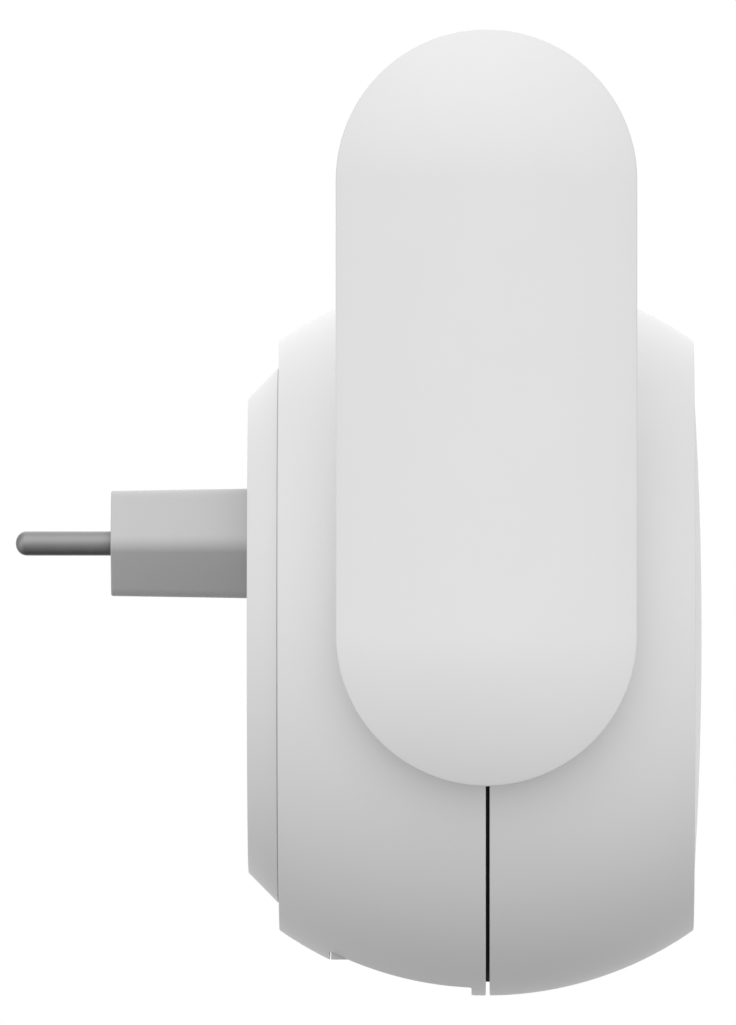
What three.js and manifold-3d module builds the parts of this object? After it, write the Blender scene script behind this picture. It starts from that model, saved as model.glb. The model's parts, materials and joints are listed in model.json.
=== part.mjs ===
// Plug-in powerline adapter with two swivelling paddle antennas.
// Units: millimetres. +Z is up. The origin is the centre of the plug's engagement face, between the two mains pins.
// The pins point to -X, the front cover faces +X, and the antennas turn about a common axis parallel to Y.
import * as THREE from "three";
import { mergeVertices } from "three/addons/utils/BufferGeometryUtils.js";
import Module from "manifold-3d";

const wasm = await Module();
wasm.setup();

// ---------------------------------------------------------------- driving dimensions
const GAP = 0.3; // clearance between neighbouring pieces

const PIN_R = 2.4; // round mains pin, 4.8 mm diameter
const PIN_LEN = 19; // length outside the plug face
const PIN_Y = 9.5; // half of the 19 mm pin spacing

const BOSS_LEN = 27.4; // plug boss, from the plug face to the base
const BOSS_HALF_Z0 = 10.5; // half thickness at the plug face
const BOSS_HALF_Z1 = 10.95; // half thickness at the base
const BOSS_RIDGE_Y = 18.1; // half width at the side ridges
const BOSS_FLAT_Y = 7.6; // half width of the flat top and bottom
const BOSS_WALL = 2;

const BASE_X0 = 27.4; // rear face of the conical base
const BASE_X1 = 33.4;
const BASE_R0 = 47.4;
const BASE_R1 = 53.5;

const CX = 75; // centre of the spherical body, and the antenna axis
const CZ = -18.4;
const BODY_R = 72; // outer radius of the ball
const WALL = 2;
const BODY_X0 = 33.6; // rear plane of the ball
const BODY_X1 = 116.4; // front plane of the ball
const FACET_Y = 71.0; // small flat side facets under the antennas
const SEAM_X0 = 74.86; // slot between the two halves of the ball
const SEAM_X1 = 75.62;

const COVER_R = 50; // front cover
const COVER_RISE = 1.6; // height of its dome
const LEDGE_R = 38; // inner radius of the ledge that carries it

const POST_R = 42; // pitch radius of the four screw posts

const BAY_X0 = 43.7; // port bay under the rear half
const BAY_X1 = 72;
const BAY_Y = 15.5;
const PANEL_Z = -83.05; // outer face of the port panel

const PAD_R = 29.8; // antenna paddle: radius of its round ends
const PAD_L = 90; // distance between the centres of its round ends
const PAD_Y0 = 71.3; // inner face
const PAD_EDGE = 4.5; // thickness at its rim
const PAD_CROWN_R = 58; // radius of its crowned outer face
const PAD_WALL = 2;
const HUB_R = 9; // hollow hinge hub
const HUB_BORE = 6;
const HUB_FLANGE_R = 12.5;

const PAIR_TRAVEL = 0.6; // pair button
const RESET_TRAVEL = 0.5; // reset button

// ---------------------------------------------------------------- solids
function solid(geometry) {
  const bare = new THREE.BufferGeometry();
  bare.setAttribute("position", geometry.getAttribute("position").clone());
  if (geometry.index) bare.setIndex(geometry.index.clone());
  const merged = mergeVertices(bare, 1e-4);
  const pos = merged.getAttribute("position");
  const idx = merged.index.array;
  const kept = [];
  let volume = 0;
  const a = new THREE.Vector3(), b = new THREE.Vector3(), c = new THREE.Vector3();
  for (let i = 0; i < idx.length; i += 3) {
    const [p, q, r] = [idx[i], idx[i + 1], idx[i + 2]];
    if (p === q || q === r || r === p) continue; // collapsed at a pole
    a.fromBufferAttribute(pos, p);
    b.fromBufferAttribute(pos, q);
    c.fromBufferAttribute(pos, r);
    volume += a.dot(b.cross(c));
    kept.push([p, q, r]);
  }
  const tris = new Uint32Array(kept.length * 3);
  kept.forEach(([p, q, r], i) => tris.set(volume > 0 ? [p, q, r] : [p, r, q], i * 3));
  return new wasm.Manifold(new wasm.Mesh({ numProp: 3, vertProperties: new Float32Array(pos.array), triVerts: tris }));
}

const join = (first, ...rest) => rest.reduce((m, s) => m.add(s), first);
const cut = (first, ...rest) => rest.reduce((m, s) => m.subtract(s), first);

const YZX = new THREE.Matrix4().set(0, 0, 1, 0, 1, 0, 0, 0, 0, 1, 0, 0, 0, 0, 0, 1); // shape plane on Y and Z, depth on X

function block(x0, x1, y0, y1, z0, z1) {
  const g = new THREE.BoxGeometry(x1 - x0, y1 - y0, z1 - z0);
  g.translate((x0 + x1) / 2, (y0 + y1) / 2, (z0 + z1) / 2);
  return solid(g);
}

function rod(axis, r, from, to, u, v, sides = 14) {
  // a cylinder along an axis; u and v are its other two coordinates in x, y, z order
  const g = new THREE.CylinderGeometry(r, r, to - from, sides);
  const mid = (from + to) / 2;
  if (axis === "x") {
    g.rotateZ(-Math.PI / 2);
    g.translate(mid, u, v);
  } else if (axis === "y") {
    g.translate(u, mid, v);
  } else {
    g.rotateX(Math.PI / 2);
    g.translate(u, v, mid);
  }
  return solid(g);
}

function turnedX(profile, sides, y = 0, z = 0) {
  // profile points are [x, radius]; it starts and ends on the axis, or closes on itself
  const g = new THREE.LatheGeometry(profile.map(([x, r]) => new THREE.Vector2(r, x)), sides);
  g.rotateZ(-Math.PI / 2); // the lathe's +Y goes to +X
  g.translate(0, y, z);
  return solid(g);
}

function turnedY(profile, sides, x, z) {
  // profile points are [y, radius]
  const g = new THREE.LatheGeometry(profile.map(([y, r]) => new THREE.Vector2(r, y)), sides);
  g.translate(x, 0, z);
  return solid(g);
}

function arc(radius, x0, x1, steps) {
  // points [x, radius] on the ball's meridian, from x0 to x1
  const a0 = Math.asin((x0 - CX) / radius), a1 = Math.asin((x1 - CX) / radius);
  return Array.from({ length: steps + 1 }, (_, i) => {
    const a = a0 + ((a1 - a0) * i) / steps;
    return [CX + radius * Math.sin(a), radius * Math.cos(a)];
  });
}

function zone(radius, x0, x1, half, steps = 4) {
  // the part of a ball between two planes, flattened at both sides at y = -half and +half
  const ball = turnedX([[x0, 0], ...arc(radius, x0, x1, steps), [x1, 0]], 44, 0, CZ);
  return ball.intersect(block(x0 - 5, x1 + 5, -half, half, CZ - 90, CZ + 90));
}

function filleted(points, radii) {
  // a closed THREE.Shape with rounded corners
  const n = points.length, shape = new THREE.Shape();
  for (let i = 0; i < n; i++) {
    const p = new THREE.Vector2(...points[i]);
    const before = new THREE.Vector2(...points[(i + n - 1) % n]).sub(p).normalize();
    const after = new THREE.Vector2(...points[(i + 1) % n]).sub(p).normalize();
    const t = radii[i] / Math.tan(Math.acos(before.dot(after)) / 2);
    const a = p.clone().addScaledVector(before, t), b = p.clone().addScaledVector(after, t);
    if (i === 0) shape.moveTo(a.x, a.y);
    else shape.lineTo(a.x, a.y);
    shape.quadraticCurveTo(p.x, p.y, b.x, b.y);
  }
  shape.closePath();
  return shape;
}

function bossForm(x0, x1, inset) {
  // six-sided section, a little thicker towards the base
  const w = BOSS_RIDGE_Y - inset * 1.35, f = BOSS_FLAT_Y - inset * 0.45, h = BOSS_HALF_Z0 - inset;
  const shape = filleted(
    [[w, 0], [f, h], [-f, h], [-w, 0], [-f, -h], [f, -h]],
    [2.6, 5.5, 5.5, 2.6, 5.5, 5.5].map((r) => Math.max(0.6, r - inset)),
  );
  const g = new THREE.ExtrudeGeometry(shape, { depth: x1 - x0, bevelEnabled: false, curveSegments: 3 });
  g.applyMatrix4(YZX);
  g.translate(x0, 0, 0);
  const pos = g.getAttribute("position");
  for (let i = 0; i < pos.count; i++) {
    const k = 1 + (BOSS_HALF_Z1 / BOSS_HALF_Z0 - 1) * (pos.getX(i) / BOSS_LEN);
    pos.setY(i, pos.getY(i) * k);
    pos.setZ(i, pos.getZ(i) * k);
  }
  return solid(g);
}

function pill(radius, length, curve) {
  // upright outline with round ends; the lower end is centred on the antenna axis
  const s = new THREE.Shape();
  s.absarc(0, 0, radius, Math.PI, 2 * Math.PI, false);
  s.absarc(0, length, radius, 0, Math.PI, false);
  s.closePath();
  return s;
}

function pillSolid(radius, y0, y1, length = PAD_L, steps = 12) {
  const g = new THREE.ExtrudeGeometry(pill(radius, length), { depth: y1 - y0, bevelEnabled: false, curveSegments: steps });
  g.rotateX(Math.PI / 2); // shape plane on X and Z, depth towards -Y
  g.translate(CX, y1, CZ);
  return solid(g);
}

function crown(radius, side) {
  // a capsule whose skin is the paddle's crowned face
  const centre = PAD_Y0 + PAD_EDGE - Math.sqrt(PAD_CROWN_R ** 2 - PAD_R ** 2);
  const g = new THREE.CapsuleGeometry(radius, PAD_L, 8, 40);
  g.rotateX(Math.PI / 2);
  g.translate(CX, side * centre, CZ + PAD_L / 2);
  return solid(g);
}

function tube(points, radius, sides = 8, steps = 10) {
  const curve = new THREE.CatmullRomCurve3(points.map((p) => new THREE.Vector3(...p)), false, "centripetal");
  const section = new THREE.Shape();
  for (let i = 0; i < sides; i++) {
    const a = (i / sides) * 2 * Math.PI;
    if (i === 0) section.moveTo(radius * Math.cos(a), radius * Math.sin(a));
    else section.lineTo(radius * Math.cos(a), radius * Math.sin(a));
  }
  section.closePath();
  return solid(new THREE.ExtrudeGeometry(section, { steps, extrudePath: curve, bevelEnabled: false }));
}

function ribbon(points, thickness, y0, y1, steps = 18) {
  // a flat cable: a thin strip that follows a curve in the XZ plane
  const curve = new THREE.CatmullRomCurve3(points.map(([x, z]) => new THREE.Vector3(x, z, 0)), false, "centripetal");
  const left = [], right = [];
  for (let i = 0; i <= steps; i++) {
    const p = curve.getPoint(i / steps), t = curve.getTangent(i / steps);
    const nx = -t.y * thickness / 2, ny = t.x * thickness / 2;
    left.push(new THREE.Vector2(p.x + nx, p.y + ny));
    right.push(new THREE.Vector2(p.x - nx, p.y - ny));
  }
  const g = new THREE.ExtrudeGeometry(new THREE.Shape([...left, ...right.reverse()]), { depth: y1 - y0, bevelEnabled: false });
  g.rotateX(Math.PI / 2);
  g.translate(0, y1, 0);
  return solid(g);
}

// ---------------------------------------------------------------- materials
const finish = (color, roughness, metalness) => new THREE.MeshStandardMaterial({ color, roughness, metalness });
const WHITE = () => finish(0xe9e9e7, 0.45, 0);
const BOSS_GREY = () => finish(0xc9c9c8, 0.5, 0);
const BLACK = () => finish(0x17181a, 0.6, 0);
const NICKEL = () => finish(0xc3c4c6, 0.22, 1);
const STEEL = () => finish(0x9fa2a6, 0.35, 1);
const BOARD = () => finish(0x1f5a38, 0.55, 0);
const COPPER = () => finish(0xb0693a, 0.35, 1);
const CLEAR = () => finish(0xdfe8ea, 0.15, 0);

const group = new THREE.Group();
function piece(name, manifold, material) {
  const mesh = manifold.getMesh();
  const np = mesh.numProp;
  const positions = new Float32Array((mesh.vertProperties.length / np) * 3);
  for (let i = 0; i < positions.length / 3; i++) {
    positions.set(mesh.vertProperties.subarray(i * np, i * np + 3), i * 3);
  }
  const g = new THREE.BufferGeometry();
  g.setAttribute("position", new THREE.BufferAttribute(positions, 3));
  g.setIndex(new THREE.BufferAttribute(new Uint32Array(mesh.triVerts), 1));
  g.computeVertexNormals();
  const m = new THREE.Mesh(g, material);
  m.name = name;
  group.add(m);
  return m;
}

// ---------------------------------------------------------------- plug
const pinHoles = [-PIN_Y, PIN_Y].map((y) => rod("x", PIN_R + 0.2, -1, 3, y, 0, 16));
piece(
  "plug_boss",
  cut(
    join(bossForm(0, 31.2, 0), bossForm(29.7, 31.2, -2.4)),
    bossForm(2.5, 32, BOSS_WALL),
    ...pinHoles,
  ),
  BOSS_GREY(),
);

for (const [label, y] of [["left", -PIN_Y], ["right", PIN_Y]]) {
  // round pin with a domed tip, a collar behind the plug face and a solder tail
  const tip = Array.from({ length: 5 }, (_, i) => {
    const a = (i / 4) * (Math.PI / 2);
    return [-PIN_LEN + 2.1 * (1 - Math.cos(a)), PIN_R * Math.sin(a)];
  });
  piece(
    `mains_pin_${label}`,
    turnedX([...tip, [2.8, PIN_R], [2.8, 3.4], [4.5, 3.4], [4.5, 1.4], [13.4, 1.4], [13.4, 0]], 16, y, 0),
    NICKEL(),
  );
  // insulated lead from the pin to the power board
  piece(
    `mains_lead_${label}`,
    tube([[13.7, y, 0], [20, y, 0], [27, y * 0.9, -2], [34, y * 0.8, -8], [38, y * 0.8, -12], [41.6, y * 0.8, -12]], 1.1),
    finish(label === "left" ? 0x6b3a1e : 0x2c4f8a, 0.5, 0),
  );
}

piece(
  "pin_carrier",
  cut(
    bossForm(4.8, 11, BOSS_WALL + GAP),
    rod("x", 1.4 + 0.25, 4, 12, -PIN_Y, 0),
    rod("x", 1.4 + 0.25, 4, 12, PIN_Y, 0),
  ),
  finish(0x3a3a3c, 0.6, 0),
);

// ---------------------------------------------------------------- base and ball
const posts = [[1, 1], [-1, 1], [-1, -1], [1, -1]].map(([a, b]) => [a * POST_R * Math.SQRT1_2, CZ + b * POST_R * Math.SQRT1_2]);

const vents = [];
for (const [z, half] of [[16.5, 13], [20.5, 10], [-32, 16], [-38, 16], [-44, 16], [-50, 14]]) {
  vents.push(block(BASE_X0 - 1, BASE_X0 + 2.2, -half, half, z - 1, z + 1));
}
piece(
  "rear_base",
  cut(
    join(
      cut(
        turnedX([[BASE_X0, 0], [BASE_X0, BASE_R0], [BASE_X1, BASE_R1], [BASE_X1, 0]], 48, 0, CZ),
        turnedX([[BASE_X0 + 2, 0], [BASE_X0 + 2, BASE_R0 - 2.1], [BASE_X1 + 1, BASE_R1 - 1.1], [BASE_X1 + 1, 0]], 48, 0, CZ),
      ),
      ...posts.map(([y, z]) => rod("x", 5, BASE_X0 + 1, BASE_X1, y, z, 12)),
    ),
    bossForm(BASE_X0 - 1, BASE_X0 + 2.2, -GAP),
    ...posts.map(([y, z]) => rod("x", 3.2, BASE_X0 - 1, 30.4, y, z, 12)),
    ...posts.map(([y, z]) => rod("x", 1.8, 30, 34, y, z, 8)),
    ...vents,
  ),
  WHITE(),
);

const hubHole = () => rod("y", HUB_R + GAP, -75, 75, CX, CZ, 24);
const bayFrame = () =>
  cut(
    block(BAY_X0 - 1.5, BAY_X1 + 1.4, -BAY_Y - 1.5, BAY_Y + 1.5, -95, -79.2).intersect(zone(BODY_R, BODY_X0, SEAM_X0, FACET_Y)),
    block(BAY_X0, BAY_X1, -BAY_Y, BAY_Y, -96, -80.75),
    block(BAY_X0 + 2.3, BAY_X1 - 2.3, -BAY_Y + 2.3, BAY_Y - 2.3, -96, -79),
  );
const stops = [];
for (const side of [-1, 1]) {
  for (const up of [-1, 1]) {
    const z = [CZ + up * 12.9, CZ + up * 16].sort((a, b) => a - b);
    const y = [side * 66.1, side * 69.6].sort((a, b) => a - b);
    stops.push(block(71, 73.1, ...y, ...z));
  }
}
piece(
  "rear_shell",
  cut(
    join(
      cut(
        zone(BODY_R, BODY_X0, SEAM_X0, FACET_Y),
        zone(BODY_R - WALL, BODY_X0 + WALL, SEAM_X0 + 5, FACET_Y - WALL),
        rod("x", 34, BODY_X0 - 1, BODY_X0 + 3, 0, CZ, 32),
        block(BAY_X0, BAY_X1, -BAY_Y, BAY_Y, -96, -75),
      ),
      ...posts.map(([y, z]) => rod("x", 5.5, BODY_X0 + 1, 41.5, y, z, 12)),
      turnedX([[32.2, 47.6], [32.2, 48.8], [33.5, 50.5], [BODY_X0 + 1, 50.5], [BODY_X0 + 1, 47.6], [32.2, 47.6]], 44, 0, CZ), // locating ring inside the base's rim
      bayFrame(),
      ...stops,
    ),
    ...posts.map(([y, z]) => rod("x", 3.9, BODY_X0 + WALL, 42, y, z, 12)),
    ...posts.map(([y, z]) => rod("x", 1.8, BODY_X0 - 1, BODY_X0 + 3, y, z, 8)),
    hubHole(),
  ),
  WHITE(),
);

piece(
  "front_shell",
  cut(
    join(
      cut(
        zone(BODY_R, SEAM_X1, BODY_X1, FACET_Y),
        zone(BODY_R - WALL, SEAM_X1 - 5, BODY_X1 - WALL, FACET_Y - WALL),
        rod("x", COVER_R + GAP, BODY_X1 - WALL - 1, BODY_X1 + 1, 0, CZ, 48),
      ),
      cut(rod("x", 53, 112.4, 114.4, 0, CZ, 48), rod("x", LEDGE_R, 112, 115, 0, CZ, 32)),
      ...posts.map(([y, z]) => rod("x", 3.5, 36.5, 113, y, z, 10)),
      ...posts.map(([y, z]) => rod("x", 5, 96.9, 113, y, z, 10)),
    ),
    ...posts.map(([y, z]) => rod("x", 1.8, 36, 52, y, z, 8)),
    hubHole(),
  ),
  WHITE(),
);

for (const [label, up] of [["upper", 1], ["lower", -1]]) {
  // black strip that closes the seam from inside, from one hinge to the other
  const ring = turnedX([[73.9, 67.2], [73.9, 69.25], [76.9, 69.25], [76.9, 67.2], [73.9, 67.2]], 44, 0, CZ);
  const z = up > 0 ? [CZ, CZ + 90] : [CZ - 90, CZ];
  piece(`seam_strip_${label}`, ring.intersect(block(70, 80, -65.4, 65.4, ...z)), BLACK());
}

const domeR = (COVER_R ** 2 + COVER_RISE ** 2) / (2 * COVER_RISE);
const domeX = (r) => BODY_X1 + COVER_RISE - domeR + Math.sqrt(domeR ** 2 - r ** 2);
const PIPES = [-10, 0, 10];
const PIPE_Z = CZ + 20;
piece(
  "front_cover",
  cut(
    turnedX(
      [[114.7, 0], [114.7, COVER_R], ...[50, 34, 17].map((r) => [domeX(r), r]), [domeX(0), 0]],
      48, 0, CZ,
    ),
    rod("x", 7.3, 114, 119, 0, CZ, 24),
    ...PIPES.map((y) => rod("x", 1.5, 114, 119, y, PIPE_Z, 12)),
  ),
  WHITE(),
);

posts.forEach(([y, z], i) => {
  // pan-head screw through the base and the rear half into a post of the front half
  const screw = turnedX([[27.9, 0], [27.9, 2.3], [28.4, 2.8], [30.1, 2.8], [30.1, 1.45], [47.4, 1.45], [48.6, 0.4], [48.6, 0]], 10, y, z);
  const slots = [block(27, 29, y - 1.7, y + 1.7, z - 0.35, z + 0.35), block(27, 29, y - 0.35, y + 0.35, z - 1.7, z + 1.7)];
  piece(`case_screw_${i + 1}`, cut(screw, ...slots), STEEL());
});

// ---------------------------------------------------------------- port bay
piece(
  "port_panel",
  cut(
    block(BAY_X0 + GAP, BAY_X1 - GAP, -BAY_Y + GAP, BAY_Y - GAP, PANEL_Z, PANEL_Z + 2),
    block(51.2, 64.8, -8.3, 8.3, PANEL_Z - 1, PANEL_Z + 3),
    rod("z", 1.6, PANEL_Z - 1, PANEL_Z + 3, 57, 10.8),
  ),
  WHITE(),
);
piece(
  "ethernet_jack",
  cut(
    block(51.5, 64.5, -8, 8, PANEL_Z + 0.1, -61.5),
    block(54, 61, -5.95, 5.95, PANEL_Z - 1, -65.5),
    block(60.9, 62.6, -3.2, 3.2, PANEL_Z - 1, -71),
    block(62.5, 63.6, -1.7, 1.7, PANEL_Z - 1, -73),
  ),
  finish(0x1d1e20, 0.5, 0),
);
piece(
  "jack_contacts",
  join(
    block(54.3, 55.4, -4.6, 4.6, -67.2, -65.8),
    ...Array.from({ length: 8 }, (_, i) => {
      const y = (i - 3.5) * 1.02;
      return block(54.3, 54.9, y - 0.23, y + 0.23, -76.5, -67);
    }),
  ),
  finish(0xd8b25a, 0.3, 1),
);
piece("port_board", block(64.9, 66.5, -14, 14, -78.4, -50), BOARD());
piece("reset_switch", join(block(54.5, 64.6, 9.3, 14.4, -76.2, -71.5), rod("z", 1.2, -77.2, -76, 57, 10.8, 10)), BLACK());
piece(
  "reset_button",
  join(rod("z", 1.3, PANEL_Z + 0.4, -78, 57, 10.8), rod("z", 1.9, PANEL_Z + 2.3, PANEL_Z + 3.3, 57, 10.8)),
  finish(0xb9bbbd, 0.5, 0),
);
piece("port_ribbon", ribbon([[66.8, -54], [72, -54], [79, -49], [87, -46], [94.7, -46]], 0.9, -6, 6), finish(0xbfc2c4, 0.5, 0));

// ---------------------------------------------------------------- power supply
const boardHoles = (x0, x1) => posts.map(([y, z]) => rod("x", 3.95, x0 - 1, x1 + 1, y, z, 10));
piece("power_board", cut(block(41.9, 43.5, -40, 40, CZ - 40, CZ + 40), ...boardHoles(41.9, 43.5)), BOARD());
piece(
  "transformer",
  join(
    block(43.8, 46.2, -22, 4, -9, 15),
    block(45.8, 64, -20, 2, -4, 10),
    block(47.6, 62.2, -16.5, -1.5, -8, 14),
  ),
  finish(0x3b3f45, 0.5, 0),
);
piece("bulk_capacitor", turnedY([[5, 0], [5, 7.2], [5.8, 8], [31.2, 8], [32, 7.2], [32, 0]], 20, 52.2, -29.5), finish(0x23324f, 0.35, 0));
piece("x_capacitor", block(43.8, 58, -36, -17, -36, -26), finish(0xc7a43a, 0.45, 0));
piece("mains_fuse", turnedX([[43.8, 0], [43.8, 4.2], [52, 4.2], [52, 0]], 16, 34, -10), finish(0x2b2c2e, 0.45, 0));
{
  // toroidal coupler that puts the data signal on the mains
  const g = new THREE.TorusGeometry(7.5, 3.4, 7, 14);
  g.rotateY(Math.PI / 2);
  g.translate(48, 17, -2);
  piece("line_coupler", solid(g), COPPER());
}
piece("power_harness", ribbon([[43.8, -52], [50, -52], [62, -47], [78, -41], [87, -40], [94.7, -40]], 1.6, 13, 23), finish(0xc9c9c4, 0.55, 0));

// ---------------------------------------------------------------- main board
piece("main_board", cut(block(95, 96.6, -40, 40, CZ - 40, CZ + 40), ...boardHoles(95, 96.6)), BOARD());
piece(
  "radio_shield",
  cut(block(91.2, 94.7, -32, -2, -30, 4), block(91.7, 95, -31.5, -2.5, -29.5, 3.5)),
  finish(0xb4b7ba, 0.3, 1),
);
piece("processor", block(93.3, 94.7, 8, 24, -28, -12), BLACK());
piece(
  "heat_sink",
  join(
    block(91, 93, 5, 27, -31, -9),
    ...Array.from({ length: 6 }, (_, i) => block(82, 91.1, 5 + i * 4.1, 6.5 + i * 4.1, -31, -9)),
  ),
  finish(0x8d9196, 0.4, 1),
);
PIPES.forEach((y, i) => {
  piece(`status_led_${i + 1}`, block(96.9, 98.3, y - 0.8, y + 0.8, PIPE_Z - 1, PIPE_Z + 1), finish(0xf2f2e6, 0.3, 0));
  const end = domeX(Math.hypot(y, PIPE_Z - CZ)) - 0.03;
  piece(
    `light_pipe_${i + 1}`,
    turnedX([[98.8, 0], [98.8, 1.2], [112.9, 1.2], [112.9, 2.1], [114.4, 2.1], [114.4, 1.2], [end, 1.2], [end, 0]], 12, y, PIPE_Z),
    CLEAR(),
  );
});
piece("pair_switch", cut(block(96.9, 100.9, -3, 3, CZ - 3, CZ + 3), rod("x", 2.05, 98.9, 101.5, 0, CZ)), BLACK());
piece("pair_switch_plunger", rod("x", 1.75, 99.9, 104.6, 0, CZ), finish(0xd9d9d6, 0.5, 0));
piece(
  "pair_button",
  turnedX(
    [[104.9, 0], [104.9, 3], [112.9, 3], [112.9, 8.6], [114.4, 8.6], [114.4, 7], [domeX(7) - 0.35, 7], [domeX(6.6) - 0.02, 6.6], [domeX(0) - 0.02, 0]],
    24, 0, CZ,
  ),
  WHITE(),
);

// ---------------------------------------------------------------- antennas, one on each side
for (const [label, s] of [["left", -1], ["right", 1]]) {
  const span = (a, b) => [s * a, s * b].sort((p, q) => p - q);
  const topZ = CZ + PAD_L;
  // crowned outer shell with a screw boss at the centre of the upper round end
  piece(
    `antenna_cover_${label}`,
    cut(
      join(
        cut(
          pillSolid(PAD_R, ...span(PAD_Y0, 90)).intersect(crown(PAD_CROWN_R, s)),
          pillSolid(PAD_R - 1.9, ...span(PAD_Y0 - 2, 90)).intersect(crown(PAD_CROWN_R - PAD_WALL, s)),
          pillSolid(PAD_R - 1.9, ...span(PAD_Y0 - 2, PAD_Y0 + 1.9)),
        ),
        rod("y", 3.2, ...span(74.3, 82.7), CX, topZ, 14),
      ),
      rod("y", 1.25, ...span(73.4, 79.4), CX, topZ, 10),
    ),
    WHITE(),
  );
  // flat inner plate; its hollow hub passes through the side facet and is caught behind it by a flange
  const hub = join(
    rod("y", HUB_R, ...span(66, PAD_Y0 + 0.6), CX, CZ, 24),
    rod("y", HUB_FLANGE_R, ...span(66, 67.6), CX, CZ, 24),
    block(CX - 1.2, CX + 1.2, ...span(66, 67.6), CZ + 11.5, CZ + 14.6), // stop lug
  );
  piece(
    `antenna_back_${label}`,
    cut(
      join(pillSolid(PAD_R - 1.9 - GAP, ...span(PAD_Y0, PAD_Y0 + 1.6)), hub, rod("y", 4.2, ...span(PAD_Y0 + 1, 74), CX, topZ, 16)),
      rod("y", HUB_BORE, ...span(65.6, 74.4), CX, CZ, 20),
      rod("y", 2.6, ...span(PAD_Y0 - 1, 72.6), CX, topZ, 16),
      rod("y", 1.3, ...span(72.4, 74.4), CX, topZ, 10),
    ),
    WHITE(),
  );
  piece(
    `antenna_screw_${label}`,
    turnedY(
      [[71.6, 0], [71.6, 2.2], [72.4, 2.2], [72.4, 1], [78.4, 1], [79, 0]].map(([y, r]) => [s * y, r]),
      10, CX, topZ,
    ),
    STEEL(),
  );
  piece(`antenna_board_${label}`, block(CX - 15, CX + 15, ...span(75.4, 76.4), 4, 62), BOARD());
  piece(
    `antenna_coax_${label}`,
    tube([[CX, s * 65.7, CZ], [CX, s * 70.4, CZ], [CX, s * 74.8, CZ + 1.6], [CX, s * 76, CZ + 6], [CX, s * 76, CZ + 14], [CX, s * 76, 3.7]], 0.95),
    finish(0x1b1c1e, 0.5, 0),
  );
  piece(
    `friction_washer_${label}`,
    turnedY([[67.8, 9.4], [67.8, 11.6], [68.4, 11.6], [68.4, 9.4], [67.8, 9.4]].map(([y, r]) => [s * y, r]), 24, CX, CZ),
    finish(0x2a2a2c, 0.8, 0),
  );
  piece(
    `body_coax_${label}`,
    tube([[CX, s * 65.4, CZ], [CX, s * 54, CZ], [CX + 4, s * 44, CZ], [CX + 12, s * 37, CZ], [94.7, s * 36, CZ]], 0.95),
    finish(0x1b1c1e, 0.5, 0),
  );
}

export default group;
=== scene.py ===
import json
import math

import bmesh
import bpy
import numpy as np
from mathutils import Matrix, Vector


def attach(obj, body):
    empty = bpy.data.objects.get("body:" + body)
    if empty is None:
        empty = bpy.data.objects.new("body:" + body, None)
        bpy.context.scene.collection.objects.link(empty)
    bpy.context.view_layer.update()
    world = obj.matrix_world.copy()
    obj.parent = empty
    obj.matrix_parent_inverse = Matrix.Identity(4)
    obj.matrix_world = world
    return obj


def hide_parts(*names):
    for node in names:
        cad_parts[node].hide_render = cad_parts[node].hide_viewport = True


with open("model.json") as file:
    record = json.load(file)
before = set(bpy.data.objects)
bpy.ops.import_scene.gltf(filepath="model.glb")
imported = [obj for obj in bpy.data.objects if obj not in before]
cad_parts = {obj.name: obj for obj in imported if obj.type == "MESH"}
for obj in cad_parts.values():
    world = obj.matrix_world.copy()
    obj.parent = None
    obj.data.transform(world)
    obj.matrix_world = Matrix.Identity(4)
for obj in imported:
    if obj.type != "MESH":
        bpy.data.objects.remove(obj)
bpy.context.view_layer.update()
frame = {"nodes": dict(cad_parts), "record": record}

scene = bpy.context.scene
MM = 0.001

# ------------------------------------------------------------------ dimensions, in millimetres (those of the CAD part)
PIN_R, PIN_LEN, PIN_Y = 2.4, 19.0, 9.5
BOSS_LEN, BOSS_Z0, BOSS_Z1, BOSS_RIDGE, BOSS_FLAT, BOSS_WALL = 27.4, 10.5, 10.95, 18.1, 7.6, 2.0
BASE_X0, BASE_X1, BASE_R0, BASE_R1 = 27.4, 33.4, 47.4, 53.5
CX, CZ, R, WALL = 75.0, -18.4, 72.0, 2.0
X0, X1, FACET = 33.6, 116.4, 71.0
SEAM0, SEAM1 = 74.86, 75.62
COVER_R, RISE, LEDGE_R, POST_R = 50.0, 1.6, 38.0, 42.0
BAY_X0, BAY_X1, BAY_Y, PANEL_Z = 43.7, 72.0, 15.5, -83.05
PAD_R, PAD_L, PAD_Y0, PAD_EDGE, CROWN, PAD_WALL = 29.8, 90.0, 71.3, 4.5, 58.0, 2.0
GAP = 0.3
POSTS = [(a * POST_R * math.sqrt(0.5), CZ + b * POST_R * math.sqrt(0.5)) for a, b in ((1, 1), (-1, 1), (-1, -1), (1, -1))]
DOME = (COVER_R**2 + RISE**2) / (2 * RISE)


def dome_x(r):
    return X1 + RISE - DOME + math.sqrt(DOME * DOME - r * r)


# ------------------------------------------------------------------ mesh helpers
def new_object(name, verts, faces):
    me = bpy.data.meshes.new(name)
    me.from_pydata([(x * MM, y * MM, z * MM) for x, y, z in verts], [], faces)
    bm = bmesh.new()
    bm.from_mesh(me)
    bmesh.ops.remove_doubles(bm, verts=bm.verts, dist=1e-7)
    bmesh.ops.dissolve_degenerate(bm, dist=1e-8, edges=bm.edges)
    bmesh.ops.recalc_face_normals(bm, faces=bm.faces)
    if bm.calc_volume(signed=True) < 0:
        bmesh.ops.reverse_faces(bm, faces=bm.faces)
    bm.to_mesh(me)
    bm.free()
    ob = bpy.data.objects.new(name, me)
    scene.collection.objects.link(ob)
    return ob


def drop(ob):
    me = ob.data
    bpy.data.objects.remove(ob)
    if me.users == 0:
        bpy.data.meshes.remove(me)


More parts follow.
